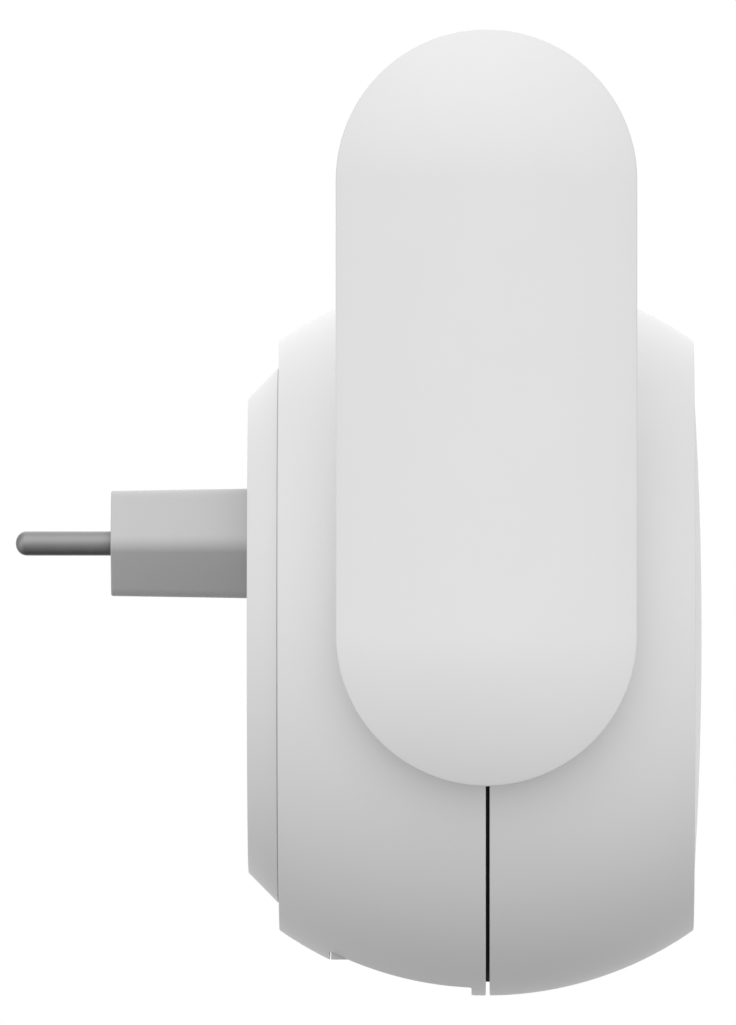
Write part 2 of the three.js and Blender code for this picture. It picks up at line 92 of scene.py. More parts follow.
def boolean(ob, tools, op):
    for tool in tools if isinstance(tools, (list, tuple)) else [tools]:
        m = ob.modifiers.new("cut", "BOOLEAN")
        m.operation, m.object, m.solver = op, tool, "MANIFOLD"
        me = bpy.data.meshes.new_from_object(ob.evaluated_get(bpy.context.evaluated_depsgraph_get()))
        ob.modifiers.clear()
        old, ob.data = ob.data, me
        bpy.data.meshes.remove(old)
        me.name = ob.name
        drop(tool)
    return ob


def cut(ob, *tools):
    return boolean(ob, tools, "DIFFERENCE")


def join(ob, *tools):
    return boolean(ob, tools, "UNION")


def both(ob, *tools):
    return boolean(ob, tools, "INTERSECT")


def fillet(points, radii, steps=6):
    """Rounds the corners of an open or closed list of 2-D points; a radius of 0 leaves the corner."""
    out = []
    n = len(points)
    for i, (p, r) in enumerate(zip(points, radii)):
        if r <= 0:
            out.append(p)
            continue
        a, b, c = Vector(points[i - 1]), Vector(p), Vector(points[(i + 1) % n])
        u, v = (a - b).normalized(), (c - b).normalized()
        half = math.acos(max(-1, min(1, u.dot(v)))) / 2
        t = r / math.tan(half)
        m = (u + v).normalized()
        centre = b + m * (r / math.sin(half))
        s, e = b + u * t - centre, b + v * t - centre
        for k in range(steps + 1):
            f = k / steps
            d = s.slerp(e, f) if s.length > 1e-9 else s
            out.append(tuple(centre + d.normalized() * r))
    return out


def arc(radius, xa, xb, steps, trim_a=0.0, trim_b=0.0):
    a0, a1 = math.asin((xa - CX) / radius), math.asin((xb - CX) / radius)
    pts = []
    for i in range(steps + 1):
        a = a0 + (a1 - a0) * i / steps
        if 0 < i < steps and (radius * (a - a0) < trim_a or radius * (a1 - a) < trim_b):
            continue
        pts.append((CX + radius * math.sin(a), radius * math.cos(a)))
    return pts


def revolve_x(name, profile, y=0.0, z=CZ, n=192, closed=False):
    """Turns (x, r) points about an axis parallel to X. Points on the axis become poles."""
    verts, faces, rings = [], [], []
    for x, r in profile:
        if r < 1e-6:
            rings.append([len(verts)] * n)
            verts.append((x, y, z))
        else:
            rings.append(list(range(len(verts), len(verts) + n)))
            for k in range(n):
                t = 2 * math.pi * k / n
                verts.append((x, y + r * math.cos(t), z + r * math.sin(t)))
    pairs = list(zip(rings, rings[1:])) + ([(rings[-1], rings[0])] if closed else [])
    for a, b in pairs:
        for k in range(n):
            q = [a[k], a[(k + 1) % n], b[(k + 1) % n], b[k]]
            q = [v for i, v in enumerate(q) if v not in q[:i]]
            if len(q) > 2:
                faces.append(q)
    return new_object(name, verts, faces)


def revolve_y(name, profile, x, z, n=96, closed=False):
    ob = revolve_x(name, profile, 0, 0, n, closed)
    ob.data.transform(Matrix(((0, -1, 0, x * MM), (1, 0, 0, 0), (0, 0, 1, z * MM), (0, 0, 0, 1))))
    return ob


def revolve_z(name, profile, x, y, n=64, closed=False):
    ob = revolve_x(name, profile, 0, 0, n, closed)
    ob.data.transform(Matrix(((0, 0, -1, x * MM), (0, 1, 0, y * MM), (1, 0, 0, 0), (0, 0, 0, 1))))
    return ob


def rod_x(r, xa, xb, y, z, n=64):
    return revolve_x("tool", [(xa, 0), (xa, r), (xb, r), (xb, 0)], y, z, n)


def rod_y(r, ya, yb, x, z, n=64):
    return revolve_y("tool", [(ya, 0), (ya, r), (yb, r), (yb, 0)], x, z, n)


def rod_z(r, za, zb, x, y, n=48):
    return revolve_z("tool", [(za, 0), (za, r), (zb, r), (zb, 0)], x, y, n)


def prism(name, outline, lo, hi, axis, bevel=0.0, steps=4):
    """Extrudes a closed outline between lo and hi along an axis, with rounded rims. The outline's coordinates are the
    other two axes in x, y, z order."""
    pts = [Vector(p) for p in outline]
    n = len(pts)
    area = sum(pts[i].x * pts[(i + 1) % n].y - pts[(i + 1) % n].x * pts[i].y for i in range(n))
    normals = []
    for i in range(n):
        d = (pts[(i + 1) % n] - pts[i - 1]).normalized()
        o = Vector((d.y, -d.x)) * (1 if area > 0 else -1)
        normals.append(o)
    levels = []
    if bevel > 0:
        for k in range(steps + 1):
            a = math.pi / 2 * k / steps
            levels.append((lo + bevel * (1 - math.sin(a)), bevel * (1 - math.cos(a))))
        levels = levels[::-1]
        levels += [(lo + hi - h, i) for h, i in levels[::-1]]
    else:
        levels = [(lo, 0.0), (hi, 0.0)]
    verts, faces = [], []
    for h, inset in levels:
        for p, o in zip(pts, normals):
            a, b = p - o * inset
            verts.append({"x": (h, a, b), "y": (a, h, b), "z": (a, b, h)}[axis])
    m = len(levels)
    for i in range(m - 1):
        for k in range(n):
            faces.append([i * n + k, i * n + (k + 1) % n, (i + 1) * n + (k + 1) % n, (i + 1) * n + k])
    faces.append(list(range(n))[::-1])
    faces.append([(m - 1) * n + k for k in range(n)])
    return new_object(name, verts, faces)


def rounded_rect(ax, bx, ay, by, r, steps=6):
    return fillet([(ax, ay), (bx, ay), (bx, by), (ax, by)], [r] * 4, steps)


def box(xa, xb, ya, yb, za, zb, r=0.0, bevel=0.0, axis="z", name="tool"):
    ranges = {"x": ((ya, yb), (za, zb), (xa, xb)), "y": ((xa, xb), (za, zb), (ya, yb)), "z": ((xa, xb), (ya, yb), (za, zb))}[axis]
    (a0, a1), (b0, b1), (h0, h1) = ranges
    outline = rounded_rect(a0, a1, b0, b1, r) if r > 0 else [(a0, b0), (a1, b0), (a1, b1), (a0, b1)]
    return prism(name, outline, h0, h1, axis, bevel)


def finish_normals(ob, angle=28.0, rule=None):
    """Smooth shading with sharp edges where faces meet steeply; rule(point, face normal) gives the true normal of a known surface."""
    me = ob.data
    me.polygons.foreach_set("use_smooth", [True] * len(me.polygons))
    me.set_sharp_from_angle(angle=math.radians(angle))
    if rule is None:
        return ob
    me.update()
    normals = np.zeros(len(me.loops) * 3, np.float32)
    me.corner_normals.foreach_get("vector", normals)
    normals = normals.reshape(-1, 3)
    co = np.zeros(len(me.vertices) * 3)
    me.vertices.foreach_get("co", co)
    co = co.reshape(-1, 3) / MM
    loop_vertex = np.zeros(len(me.loops), np.int64)
    me.loops.foreach_get("vertex_index", loop_vertex)
    starts = np.zeros(len(me.polygons), np.int64)
    totals = np.zeros(len(me.polygons), np.int64)
    me.polygons.foreach_get("loop_start", starts)
    me.polygons.foreach_get("loop_total", totals)
    face = np.zeros(len(me.polygons) * 3)
    me.polygons.foreach_get("normal", face)
    face = face.reshape(-1, 3)
    loop_face = np.repeat(np.arange(len(totals)), totals)
    order = np.concatenate([np.arange(s, s + t) for s, t in zip(starts, totals)])
    fn = np.zeros((len(me.loops), 3))
    fn[order] = face[loop_face]
    true, known = rule(co[loop_vertex], fn)
    normals[known] = true[known]
    me.normals_split_custom_set([tuple(v) for v in normals.astype(float)])
    return ob


def ball_rule(p, fn):
    d = p - np.array([CX, 0, CZ])
    dist = np.linalg.norm(d, axis=1)
    n = d / np.maximum(dist, 1e-9)[:, None]
    return n, (abs(dist - R) < 0.02) & ((n * fn).sum(1) > 0.985)


# ------------------------------------------------------------------ plug
def boss_section(inset, k=1.0, steps=10):
    w, f, h = BOSS_RIDGE - inset * 1.35, BOSS_FLAT - inset * 0.45, BOSS_Z0 - inset
    r = [max(0.6, x - inset) for x in (2.6, 5.5, 5.5, 2.6, 5.5, 5.5)]
    pts = fillet([(w, 0), (f, h), (-f, h), (-w, 0), (-f, -h), (f, -h)], r, steps)
    return [(y * k, z * k) for y, z in pts]


def boss_form(name, xa, xb, inset, rim=0.0):
    """The six-sided boss with a little draft; rim rounds the edge of its end at xa."""
    stations = []
    if rim > 0:
        for k in range(7):
            a = math.pi / 2 * k / 6
            stations.append((xa + rim * (1 - math.sin(a)), inset + rim * (1 - math.cos(a))))
        stations = stations[::-1]
    else:
        stations.append((xa, inset))
    for k in range(1, 13):
        stations.append((xa + rim + (xb - xa - rim) * k / 12, inset))
    verts, faces, n = [], [], None
    for x, i in stations:
        k = 1 + (BOSS_Z1 / BOSS_Z0 - 1) * (x / BOSS_LEN)
        sec = boss_section(i, k)
        n = len(sec)
        verts += [(x, y, z) for y, z in sec]
    m = len(stations)
    for i in range(m - 1):
        for k in range(n):
            faces.append([i * n + k, i * n + (k + 1) % n, (i + 1) * n + (k + 1) % n, (i + 1) * n + k])
    faces.append(list(range(n)))
    faces.append([(m - 1) * n + k for k in range(n)])
    return new_object(name, verts, faces)


def make_boss():
    ob = boss_form("plug_boss_fine", 0, 31.2, 0, rim=0.35)
    join(ob, boss_form("tool", 29.7, 31.2, -2.4))
    cut(ob, boss_form("tool", 2.5, 32, BOSS_WALL))
    cut(ob, *[rod_x(PIN_R + 0.18, -1, 3, y, 0) for y in (-PIN_Y, PIN_Y)])
    # a shallow ring round each pin
    for y in (-PIN_Y, PIN_Y):
        cut(ob, revolve_x("tool", [(-0.5, PIN_R + 0.9), (0.35, PIN_R + 0.9), (0.35, PIN_R + 1.35), (-0.5, PIN_R + 1.35)], y, 0, 64, closed=True))
    return finish_normals(ob, 30)


def make_pin(name, y):
    tip = []
    for k in range(13):
        a = math.pi / 2 * k / 12
        tip.append((-PIN_LEN + 2.1 * (1 - math.cos(a)), PIN_R * math.sin(a)))
    tail = fillet([(2.8, PIN_R), (2.8, 3.4), (4.5, 3.4), (4.5, 1.4), (13.4, 1.4), (13.4, 0)], [0, 0.2, 0.2, 0, 0.2, 0], 3)
    ob = revolve_x(name, tip + [(-8.0, PIN_R), (0.0, PIN_R)] + tail, y, 0, 96)
    return finish_normals(ob, 35)


# ------------------------------------------------------------------ base
def slot_tool(xa, xb, half, z, height):
    r = height / 2
    return box(xa, xb, -half, half, z - r, z + r, r=r * 0.98, axis="x")


def make_base():
    outer = [(BASE_X0, 0)] + fillet([(BASE_X0, 30), (BASE_X0, BASE_R0), (BASE_X1, BASE_R1), (BASE_X1, 40)], [0, 0.45, 0.1, 0], 5) + [(BASE_X1, 0)]
    ob = revolve_x("rear_base_fine", outer, n=256)
    cut(ob, revolve_x("tool", [(BASE_X0 + 2, 0), (BASE_X0 + 2, BASE_R0 - 2.1), (BASE_X1 + 1, BASE_R1 - 1.1), (BASE_X1 + 1, 0)], n=192))
    join(ob, *[rod_x(5, BASE_X0 + 1, BASE_X1, y, z) for y, z in POSTS])
    cut(ob, boss_form("tool", BASE_X0 - 1, BASE_X0 + 2.2, -0.25))
    for y, z in POSTS:
        cut(ob, revolve_x("tool", [(BASE_X0 - 1, 0), (BASE_X0 - 1, 3.7), (BASE_X0, 3.6), (BASE_X0 + 0.4, 3.2), (30.4, 3.2), (30.4, 1.7), (34, 1.7), (34, 0)], y, z, 48))
    for z, half in ((16.5, 13), (20.5, 10), (-32, 16), (-38, 16), (-44, 16), (-50, 14)):
        cut(ob, slot_tool(BASE_X0 - 1, BASE_X0 + 2.2, half, z, 2.0))
    return finish_normals(ob, 30)


# ------------------------------------------------------------------ ball
def slab(half):
    return box(X0 - 6, X1 + 6, -half, half, CZ - 90, CZ + 90)


def ball_part(name, radius, xa, xb, half, ra=0.0, rb=0.0, n=256, steps=64):
    mid = arc(radius, xa, xb, steps, 2.2 * ra, 2.2 * rb)
    pts = [(xa, mid[0][1] * 0.6)] + mid + [(xb, mid[-1][1] * 0.6)]
    radii = [0, ra] + [0] * (len(mid) - 2) + [rb, 0]
    ob = revolve_x(name, [(xa, 0)] + fillet(pts, radii, 5) + [(xb, 0)], n=n)
    return both(ob, slab(half))


def hub_hole():
    return rod_y(9.3, -75, 75, CX, CZ, 96)


def bay_cutter(extra=0.0, za=-96.0, zb=-75.0):
    return box(BAY_X0 - extra, BAY_X1 + extra, -BAY_Y - extra, BAY_Y + extra, za, zb, r=0.8)


def make_rear_shell():
    ob = ball_part("rear_shell_fine", R, X0, SEAM0, FACET, 0.35, 0.3)
    inner = ball_part("tool", R - WALL, X0 + WALL, SEAM0 + 5, FACET - WALL, n=128, steps=32)
    cut(ob, inner, rod_x(34, X0 - 1, X0 + 3, 0, CZ, 96), bay_cutter())
    join(ob, *[rod_x(5.5, X0 + 1, 41.5, y, z, 48) for y, z in POSTS])
    join(ob, revolve_x("tool", [(32.2, 47.6), (32.2, 48.8), (33.5, 50.6), (X0 + 1, 50.6), (X0 + 1, 47.6)], n=192, closed=True))
    # shallow lip that closes the joint line round the base
    join(ob, revolve_x("tool", [(BASE_X1 + 0.03, 49), (BASE_X1 + 0.03, 53.4), (X0 + 0.5, 53.4), (X0 + 0.5, 49)], n=256, closed=True))
    # walls of the port bay, with the ledge that carries the port panel
    walls = both(
        box(BAY_X0 - 1.5, BAY_X1 + 1.4, -BAY_Y - 1.5, BAY_Y + 1.5, -95, -79.2, r=1.0),
        ball_part("tool", R - 0.4, X0, SEAM0, FACET, n=128, steps=32),
    )
    cut(walls, bay_cutter(0, -96, -80.75))
    cut(walls, box(BAY_X0 + 2.3, BAY_X1 - 2.3, -BAY_Y + 2.3, BAY_Y - 2.3, -96, -79, r=0.8))
    join(ob, walls)
    for side in (-1, 1):
        for up in (-1, 1):
            ya, yb = sorted((side * 66.1, side * 69.6))
            za, zb = sorted((CZ + up * 12.9, CZ + up * 16))
            join(ob, box(71, 73.1, ya, yb, za, zb))
    cut(ob, *[rod_x(3.9, X0 + WALL, 42, y, z, 48) for y, z in POSTS])
    cut(ob, *[rod_x(1.75, X0 - 1, X0 + 3, y, z, 32) for y, z in POSTS])
    cut(ob, hub_hole())
    return finish_normals(ob, 24, ball_rule)


def make_front_shell():
    ob = ball_part("front_shell_fine", R, SEAM1, X1, FACET, 0.3, 0.45)
    cut(ob, ball_part("tool", R - WALL, SEAM1 - 5, X1 - WALL, FACET - WALL, n=128, steps=32))
    cut(ob, revolve_x("tool", [(X1 - 3, 0), (X1 - 3, 50.2), (X1 - 0.25, 50.2), (X1 + 0.01, 50.45), (X1 + 1, 50.45), (X1 + 1, 0)], n=256))
    join(ob, revolve_x("tool", [(112.4, LEDGE_R), (114.4, LEDGE_R), (114.4, 53), (112.4, 53)], n=128, closed=True))
    for y, z in POSTS:
        join(ob, revolve_x("tool", [(36.5, 0), (36.5, 3.5), (96.9, 3.5), (96.9, 5), (113, 5), (113, 0)], y, z, 48))
    cut(ob, *[rod_x(1.7, 36, 52, y, z, 32) for y, z in POSTS])
    cut(ob, hub_hole())
    return finish_normals(ob, 24, ball_rule)


def make_strip(name, up):
    ring = revolve_x(name, fillet([(73.9, 67.2), (73.9, 69.25), (76.9, 69.25), (76.9, 67.2)], [0.2] * 4, 3), n=256, closed=True)
    both(ring, box(70, 80, -65.4, 65.4, CZ, CZ + 90) if up > 0 else box(70, 80, -65.4, 65.4, CZ - 90, CZ))
    return finish_normals(ring, 40)


# ------------------------------------------------------------------ front cover and button
PIPES = (-10.0, 0.0, 10.0)
PIPE_Z = CZ + 20


def make_cover():
    rs = [COVER_R - 0.15 - k * (COVER_R - 0.15 - 1.0) / 47 for k in range(48)]
    top = [(dome_x(r), r) for r in rs]
    ob = revolve_x("front_cover_fine", [(114.7, 0), (114.7, COVER_R - 0.3), (115.0, COVER_R), (X1 - 0.25, COVER_R), (X1 - 0.07, COVER_R - 0.05)] + top + [(dome_x(0), 0)], n=256)
    # hole for the button, with a soft lead-in
    cut(ob, revolve_x("tool", [(114, 0), (114, 7.25)] + [(dome_x(7.3) - 0.3 + 0.3 * math.sin(a), 7.25 + 0.3 * (1 - math.cos(a))) for a in [math.pi / 2 * k / 4 for k in range(5)]] + [(119.5, 7.55), (119.5, 0)], n=128))
    cut(ob, *[rod_x(1.38, 114, 119, y, PIPE_Z, 48) for y in PIPES])
    return finish_normals(ob, 30)


def make_button():
    rim = 7.0
    face = [(dome_x(rim) - 0.4, rim)] + [
        (dome_x(rim) - 0.4 + 0.35 * math.sin(a), rim - 0.35 * (1 - math.cos(a))) for a in [math.pi / 2 * k / 5 for k in range(1, 6)]
    ]
    # a shallow finger dish
    dish = [(dome_x(r) - 0.05 - 0.35 * (0.5 + 0.5 * math.cos(math.pi * min(1.0, r / 5.8))), r) for r in [6.4 - k * 0.4 for k in range(16)]]
    stem = [(104.9, 0), (104.9, 3), (112.9, 3)] + fillet([(112.9, 8.6), (114.4, 8.6)], [0, 0], 2) + [(114.4, 7)]
    ob = revolve_x("pair_button_fine", stem + face + dish + [(dome_x(0) - 0.4, 0)], n=128)
    return finish_normals(ob, 35)


def make_pipe(name, y):
    end = dome_x(math.hypot(y, PIPE_Z - CZ)) - 0.03
    prof = [(98.8, 0), (98.8, 1.2), (112.9, 1.2), (112.9, 2.1), (114.4, 2.1), (114.4, 1.2), (end - 0.25, 1.2)]
    prof += [(end - 0.25 + 0.22 * math.sin(a), 1.2 * math.cos(a) ** 0.6) for a in [math.pi / 2 * k / 8 for k in range(1, 8)]]
    ob = revolve_x(name, prof + [(end - 0.02, 0)], y, PIPE_Z, 48)
    return finish_normals(ob, 40)


# ------------------------------------------------------------------ port bay
def make_panel():
    ob = box(BAY_X0 + GAP, BAY_X1 - GAP, -BAY_Y + GAP, BAY_Y - GAP, PANEL_Z, PANEL_Z + 2, r=0.7, bevel=0.15, name="port_panel_fine")
    cut(ob, box(51.2, 64.8, -8.3, 8.3, PANEL_Z - 1, PANEL_Z + 3, r=0.5))
    cut(ob, rod_z(1.6, PANEL_Z - 1, PANEL_Z + 3, 57, 10.8))
    return finish_normals(ob, 30)


def make_jack():
    ob = box(51.5, 64.5, -8, 8, PANEL_Z + 0.1, -61.5, r=0.4, bevel=0.12, name="ethernet_jack_fine")
    cut(ob, box(54, 61, -5.95, 5.95, PANEL_Z - 1, -65.5, r=0.25))
    cut(ob, box(60.9, 62.6, -3.2, 3.2, PANEL_Z - 1, -71, r=0.15))
    cut(ob, box(62.5, 63.6, -1.7, 1.7, PANEL_Z - 1, -73, r=0.1))
    # chamfered mouth
    lip = prism("tool", rounded_rect(53.6, 61.4, -6.35, 6.35, 0.4), PANEL_Z - 0.5, PANEL_Z + 0.45, "z")
    cut(ob, lip)
    return finish_normals(ob, 30)


def make_contacts():
    base = box(54.3, 55.4, -4.6, 4.6, -67.2, -65.8, r=0.1, bevel=0.08, axis="y", name="jack_contacts_fine")
    for i in range(8):
        y = (i - 3.5) * 1.02
        join(base, box(54.3, 54.9, y - 0.23, y + 0.23, -76.5, -67, r=0.08, bevel=0.06, axis="z"))
    return finish_normals(base, 40)


def make_reset():
    prof = [(PANEL_Z + 0.4, 0), (PANEL_Z + 0.4, 1.05), (PANEL_Z + 0.65, 1.3), (PANEL_Z + 2.3, 1.3), (PANEL_Z + 2.3, 1.9), (PANEL_Z + 3.3, 1.9), (PANEL_Z + 3.3, 1.3), (-78, 1.3), (-78, 0)]
    return finish_normals(revolve_z("reset_button_fine", prof, 57, 10.8, 64), 40)


# ------------------------------------------------------------------ antennas
def pill_ring(n_arc=48, n_side=40):
    """Outline of the pill as (x, z, zc): zc is the nearest point of its middle line; x is in units of the radius."""
    pts = []
    for i in range(n_arc):
        t = math.pi * i / n_arc
        pts.append((math.cos(t), math.sin(t), PAD_L))
    for i in range(n_side):
        pts.append((-1.0, 0.0, PAD_L * (1 - i / n_side)))
    for i in range(n_arc):
        t = math.pi + math.pi * i / n_arc
        pts.append((math.cos(t), math.sin(t), 0.0))
    for i in range(n_side):
        pts.append((1.0, 0.0, PAD_L * i / n_side))
    return pts


RING = pill_ring()


def pill_stack(name, levels, side):
    """A body built of pill outlines: levels are (radius, y). The first and last collapse on the middle line."""
    verts, faces = [], []
    n = len(RING)
    for r, y in levels:
        r = max(r, 0.0)
        verts += [(CX + r * cx, side * y, CZ + zc + r * sz) for cx, sz, zc in RING]
    for i in range(len(levels) - 1):
        for k in range(n):
            faces.append([i * n + k, i * n + (k + 1) % n, (i + 1) * n + (k + 1) % n, (i + 1) * n + k])
    return new_object(name, verts, faces)


def crown_y(r, radius=CROWN):
    centre = PAD_Y0 + PAD_EDGE - math.sqrt(CROWN**2 - PAD_R**2)
    return centre + math.sqrt(radius * radius - r * r)


def make_pad_cover(name, side):
    rim = 0.55
    # the rim fillet joins the straight side to the crowned face
    # circle of radius rim tangent to the side and to the crown sphere (inside both)
    cr = PAD_R - rim
    centre_y0 = PAD_Y0 + PAD_EDGE - math.sqrt(CROWN**2 - PAD_R**2)
    cy = centre_y0 + math.sqrt((CROWN - rim) ** 2 - cr**2)
    turn = math.asin(cr / (CROWN - rim))
    levels = []
    levels.append((0.0, crown_y(0.0)))
    contact = (CROWN) * math.sin(turn)
    for k in range(1, 31):
        r = contact * k / 30
        levels.append((r, crown_y(r)))
    for k in range(1, 7):
        a = turn + (math.pi / 2 - turn) * k / 6
        levels.append((cr + rim * math.sin(a), cy + rim * math.cos(a)))
    levels += [(PAD_R, PAD_Y0 + 0.3), (PAD_R - 0.09, PAD_Y0 + 0.09), (PAD_R - 0.3, PAD_Y0), (PAD_R - 1.75, PAD_Y0), (PAD_R - 1.9, PAD_Y0 + 0.15)]
    # inside
    ri = PAD_R - 1.9
    levels.append((ri, PAD_Y0 + 1.9))
    inner = lambda r: centre_y0 + math.sqrt((CROWN - PAD_WALL) ** 2 - r * r)
    levels.append((ri, inner(ri)))
    for k in range(11, -1, -1):
        r = ri * k / 12
        levels.append((r, inner(r)))
    ob = pill_stack(name, levels, side)
    zt = CZ + PAD_L
    ya, yb = sorted((side * 74.3, side * 82.7))
    join(ob, rod_y(3.2, ya, yb, CX, zt, 48))
    ya, yb = sorted((side * 73.4, side * 79.4))
    cut(ob, rod_y(1.25, ya, yb, CX, zt, 32))
    return finish_normals(ob, 30)


def make_pad_back(name, side):
    r = PAD_R - 1.9 - GAP + 0.08
    levels = [(0.0, PAD_Y0), (r * 0.5, PAD_Y0), (r - 0.25, PAD_Y0), (r - 0.07, PAD_Y0 + 0.07), (r, PAD_Y0 + 0.25), (r, PAD_Y0 + 1.6), (r * 0.5, PAD_Y0 + 1.6), (0.0, PAD_Y0 + 1.6)]
    ob = pill_stack(name, levels, side)
    zt = CZ + PAD_L
    sp = lambda a, b: sorted((side * a, side * b))
    join(ob, rod_y(9.0, *sp(66, PAD_Y0 + 0.6), CX, CZ, 96))
    join(ob, rod_y(12.5, *sp(66, 67.6), CX, CZ, 96))
    join(ob, box(CX - 1.2, CX + 1.2, *sp(66, 67.6), CZ + 11.5, CZ + 14.6))
    join(ob, rod_y(4.2, *sp(PAD_Y0 + 1, 74), CX, zt, 48))
    cut(ob, rod_y(6.0, *sp(65.6, 74.4), CX, CZ, 64))
    cut(ob, rod_y(2.6, *sp(PAD_Y0 - 1, 72.6), CX, zt, 48))
    cut(ob, rod_y(1.3, *sp(72.4, 74.4), CX, zt, 32))
    return finish_normals(ob, 30)


def make_pad_screw(name, side):
    zt = CZ + PAD_L
    prof = [(71.6, 0), (71.6, 2.0), (71.8, 2.2), (72.4, 2.2), (72.4, 1.0), (78.4, 1.0), (79, 0)]
    ob = revolve_y(name, [(side * y, r) for y, r in prof], CX, zt, 48)
    sp = sorted((side * 71.0, side * 72.15))
    cut(ob, box(CX - 1.25, CX + 1.25, *sp, zt - 0.22, zt + 0.22, axis="y"))
    cut(ob, box(CX - 0.22, CX + 0.22, *sp, zt - 1.25, zt + 1.25, axis="y"))
    return finish_normals(ob, 35)


def make_case_screw(name, y, z):
    prof = [(27.9, 0), (27.9, 2.1), (28.05, 2.55), (28.4, 2.8), (30.1, 2.8), (30.1, 1.45), (47.4, 1.45), (48.6, 0.4), (48.6, 0)]
    ob = revolve_x(name, prof, y, z, 48)
    cut(ob, box(27, 29, y - 1.7, y + 1.7, z - 0.33, z + 0.33, axis="x"))
    cut(ob, box(27, 29, y - 0.33, y + 0.33, z - 1.7, z + 1.7, axis="x"))
    return finish_normals(ob, 35)


# ------------------------------------------------------------------ materials
def material(name, colour, rough, metal=0.0, mottle=0.04, mottle_scale=60.0, rough_vary=0.08, grain=0.0, grain_scale=3000.0, coat=0.0, **extra):
    """A moulded or plated surface: soft colour mottle, uneven gloss and a fine grain, all from noise in the object's own space."""
    mat = bpy.data.materials.new(name)
    mat.use_nodes = True
    nt = mat.node_tree
    shader = nt.nodes["Principled BSDF"]
    coord = nt.nodes.new("ShaderNodeTexCoord")
    broad = nt.nodes.new("ShaderNodeTexNoise")
    broad.inputs["Scale"].default_value = mottle_scale
    broad.inputs["Detail"].default_value = 4
    nt.links.new(coord.outputs["Object"], broad.inputs["Vector"])
    ramp = nt.nodes.new("ShaderNodeValToRGB")
    lo = [max(0.0, c * (1 - mottle)) for c in colour]
    hi = [min(1.0, c * (1 + mottle)) for c in colour]
    ramp.color_ramp.elements[0].position, ramp.color_ramp.elements[1].position = 0.3, 0.7
    ramp.color_ramp.elements[0].color = (*lo, 1)
    ramp.color_ramp.elements[1].color = (*hi, 1)
    nt.links.new(broad.outputs["Fac"], ramp.inputs["Fac"])
    nt.links.new(ramp.outputs["Color"], shader.inputs["Base Color"])
    fine = nt.nodes.new("ShaderNodeTexNoise")
    fine.inputs["Scale"].default_value = grain_scale
    fine.inputs["Detail"].default_value = 2
    nt.links.new(coord.outputs["Object"], fine.inputs["Vector"])
    mr = nt.nodes.new("ShaderNodeMapRange")
    mr.inputs["To Min"].default_value = max(0.02, rough - rough_vary)
    mr.inputs["To Max"].default_value = min(1.0, rough + rough_vary)
    nt.links.new(broad.outputs["Fac"], mr.inputs["Value"])
    nt.links.new(mr.outputs["Result"], shader.inputs["Roughness"])
    shader.inputs["Metallic"].default_value = metal
    if grain > 0:
        bump = nt.nodes.new("ShaderNodeBump")
        bump.inputs["Strength"].default_value = grain
        bump.inputs["Distance"].default_value = 0.00006
        nt.links.new(fine.outputs["Fac"], bump.inputs["Height"])
        nt.links.new(bump.outputs["Normal"], shader.inputs["Normal"])
    if coat:
        shader.inputs["Coat Weight"].default_value = coat
        shader.inputs["Coat Roughness"].default_value = 0.1
    for key, value in extra.items():
        shader.inputs[key.replace("_", " ")].default_value = value
    return mat


WHITE = material("white_abs", (0.62, 0.62, 0.62), 0.42, mottle=0.006, rough_vary=0.04, grain=0.25, grain_scale=2600)
# the port panel is the same white plastic as the shell; its darker 0.43 grey is painted shade, standing in for the
# shade inside the port bay
PANEL_PAINTED_SHADE = material("panel_white_painted_shade", (0.43, 0.43, 0.43), 0.5, mottle=0.006, rough_vary=0.04, grain=0.25, grain_scale=2600)
WHITE_BUTTON = material("white_button", (0.62, 0.62, 0.62), 0.34, mottle=0.006, rough_vary=0.03, grain=0.12, grain_scale=3200)
PLUG = material("plug_grey", (0.42, 0.42, 0.42), 0.45, mottle=0.008, rough_vary=0.04, grain=0.2, grain_scale=2600)
NICKEL = material("nickel_plate", (0.24, 0.24, 0.242), 0.42, 1.0, mottle=0.03, mottle_scale=300, rough_vary=0.05, grain=0.05, grain_scale=5000)
STEEL = material("zinc_steel", (0.55, 0.56, 0.57), 0.35, 1.0, mottle=0.06, mottle_scale=500, grain=0.1, grain_scale=4000)
BLACK = material("black_plastic", (0.022, 0.022, 0.024), 0.5, mottle=0.1, grain=0.3, grain_scale=2600)
SEAM = material("seam_black", (0.012, 0.012, 0.012), 0.7, mottle=0.15, grain=0.2, grain_scale=1800)
RUBBER = material("black_rubber", (0.02, 0.02, 0.02), 0.75, mottle=0.15, grain=0.4, grain_scale=1500)
DARK = material("component_dark", (0.035, 0.04, 0.05), 0.45, mottle=0.12, grain=0.2)
SLEEVE = material("capacitor_sleeve", (0.03, 0.05, 0.14), 0.25, mottle=0.1, coat=0.3)
YELLOW = material("capacitor_yellow", (0.62, 0.42, 0.06), 0.3, mottle=0.06, coat=0.2)
ALU = material("anodised_aluminium", (0.5, 0.51, 0.53), 0.38, 1.0, mottle=0.05, grain=0.2)
TIN = material("tinplate", (0.62, 0.63, 0.64), 0.28, 1.0, mottle=0.08, mottle_scale=200)
GOLD = material("gold_plate", (0.80, 0.58, 0.22), 0.25, 1.0, mottle=0.05, mottle_scale=400)
LED = material("lamp_package", (0.85, 0.82, 0.68), 0.3, mottle=0.05)
BROWN = material("brown_lead", (0.10, 0.04, 0.018), 0.5, mottle=0.1)
BLUE = material("blue_lead", (0.02, 0.06, 0.25), 0.5, mottle=0.1)
CABLE = material("flat_cable", (0.42, 0.43, 0.44), 0.5, mottle=0.06)
RESET = material("reset_grey", (0.45, 0.45, 0.46), 0.4, mottle=0.03, grain=0.2)


def clear_material():
    mat = material("clear_acrylic", (0.86, 0.90, 0.91), 0.12, mottle=0.02, rough_vary=0.03)
    s = mat.node_tree.nodes["Principled BSDF"]
    s.inputs["Transmission Weight"].default_value = 0.6
    s.inputs["IOR"].default_value = 1.49
    return mat


